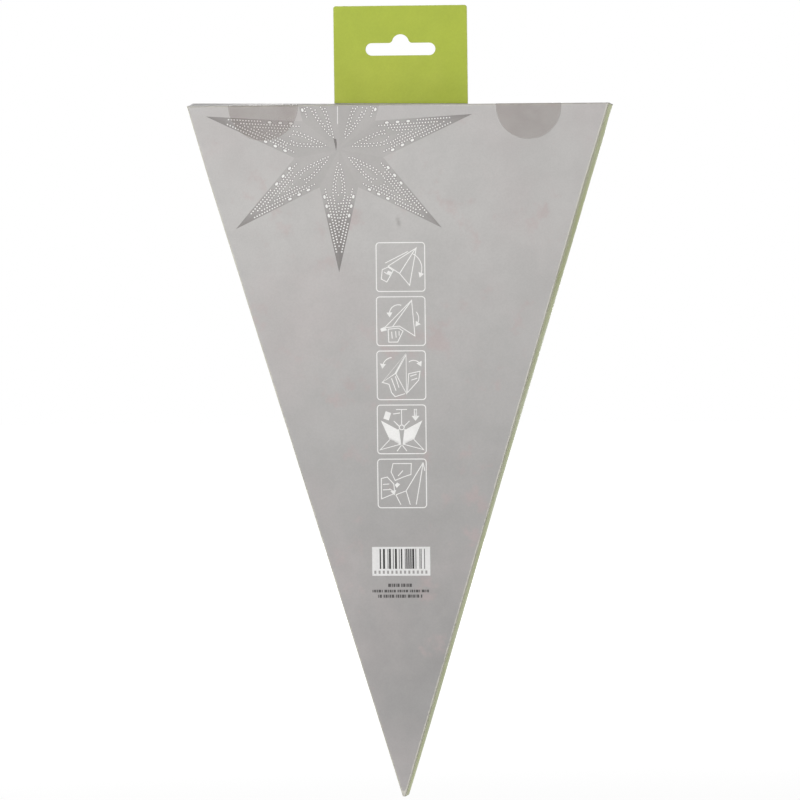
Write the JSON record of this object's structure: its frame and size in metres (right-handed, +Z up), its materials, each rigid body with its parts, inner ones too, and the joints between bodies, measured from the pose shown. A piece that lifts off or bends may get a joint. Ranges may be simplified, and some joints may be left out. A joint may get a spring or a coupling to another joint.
{
  "type": "boxed paper star light",
  "caption": "Tall three-cornered hang-tab carton, point down, with a hinged lid, holding a folded paper star and its battery LED light on a hanger.",
  "frame": {"origin": "centre of the round hump of the hang tab's slot, midway between the tab's two plies, where a display hook's rod passes", "axes": "+Z up when the carton hangs, +X to the right seen from the grey back panel, +Y from the grey back panel to the green front panel"},
  "size_m": [0.19, 0.0222, 0.355],
  "materials": {
    "grey_board": "satin printed carton board, pale warm grey, faintly clouded",
    "green_board": "satin printed carton board, lime green",
    "seal_film": "clear round adhesive film, slightly clouded",
    "star_paper": "matt white paper, punched",
    "hook_fabric": "fine hook pile",
    "white_plastic": "moulded, fine spark texture",
    "lamp_resin": "clear moulded resin",
    "steel": "nickel plated sheet",
    "cell_sleeve": "plain shrink sleeve",
    "black_plastic": "moulded",
    "circuit_laminate": "solder mask",
    "grey_rubber": "soft, dull"
  },
  "bodies": {
    "carton": {"back_panel": "grey_board", "front_panel": "green_board", "left_wall": "green_board", "right_wall": "green_board", "glue_flap": "grey_board", "left_seal_panel_half": "seal_film", "right_seal_panel_half": "seal_film", "star_arm_1": "star_paper", "star_arm_2": "star_paper", "star_arm_3": "star_paper", "star_arm_4": "star_paper", "star_arm_5": "star_paper", "star_arm_6": "star_paper", "star_arm_7": "star_paper", "closing_pad_1": "hook_fabric", "closing_pad_2": "hook_fabric", "closing_pad_3": "hook_fabric", "battery_case": "white_plastic", "battery_cover": "white_plastic", "cover_screw": "steel", "battery_cell_1": "cell_sleeve", "battery_cell_2": "cell_sleeve", "battery_cell_3": "cell_sleeve", "left_contact_strip": "steel", "right_contact_strip": "steel", "circuit_board": "circuit_laminate", "switch_body": "steel", "lead_grommet": "grey_rubber", "hanger_bar": "white_plastic", "stem": "white_plastic", "light_hub": "white_plastic", "led_lamp_1": "lamp_resin", "led_lamp_2": "lamp_resin", "led_lamp_3": "lamp_resin", "led_lamp_4": "lamp_resin", "led_lamp_5": "lamp_resin", "led_lamp_6": "lamp_resin"},
    "hang_tab": {"tab_front_ply": "green_board", "tab_back_ply": "green_board"},
    "carton_lid": {"lid": "grey_board", "left_seal_lid_half": "seal_film", "right_seal_lid_half": "seal_film"},
    "tuck": {"tuck_flap": "grey_board"},
    "left_dust": {"left_dust_flap": "green_board"},
    "right_dust": {"right_dust_flap": "green_board"},
    "switch": {"switch_knob": "black_plastic"}
  },
  "joints": [
    {"name": "lid_hinge", "type": "hinge", "parent": "carton", "child": "carton_lid", "pos_m": [0, -0.00072, -0.0272], "axis": [-1, 0, 0], "range_deg": [0, 85]},
    {"name": "tuck_fold", "type": "hinge", "parent": "carton_lid", "child": "tuck", "pos_m": [0, -0.02017, -0.0274], "axis": [-1, 0, 0], "range_deg": [-43, 0]},
    {"name": "left_dust_fold", "type": "hinge", "parent": "carton", "child": "left_dust", "pos_m": [-0.09395, -0.01, -0.0281], "axis": [0, -1, 0], "range_deg": [0, 27]},
    {"name": "right_dust_fold", "type": "hinge", "parent": "carton", "child": "right_dust", "pos_m": [0.09395, -0.01, -0.0281], "axis": [0, 1, 0], "range_deg": [0, 27]},
    {"name": "tab_fold", "type": "hinge", "parent": "carton", "child": "hang_tab", "pos_m": [0, 0.00042, -0.02705], "axis": [-1, 0, 0], "range_deg": [0, 120]},
    {"name": "switch_slide", "type": "slide", "parent": "carton", "child": "switch", "axis": [0, 0, 1], "range_m": [0, 0.003]}
  ],
  "couplings": [
    {"joint": "tuck_fold", "follows": "lid_hinge", "ratio": -0.5},
    {"joint": "left_dust_fold", "follows": "lid_hinge", "ratio": 0.3},
    {"joint": "right_dust_fold", "follows": "lid_hinge", "ratio": 0.3}
  ]
}
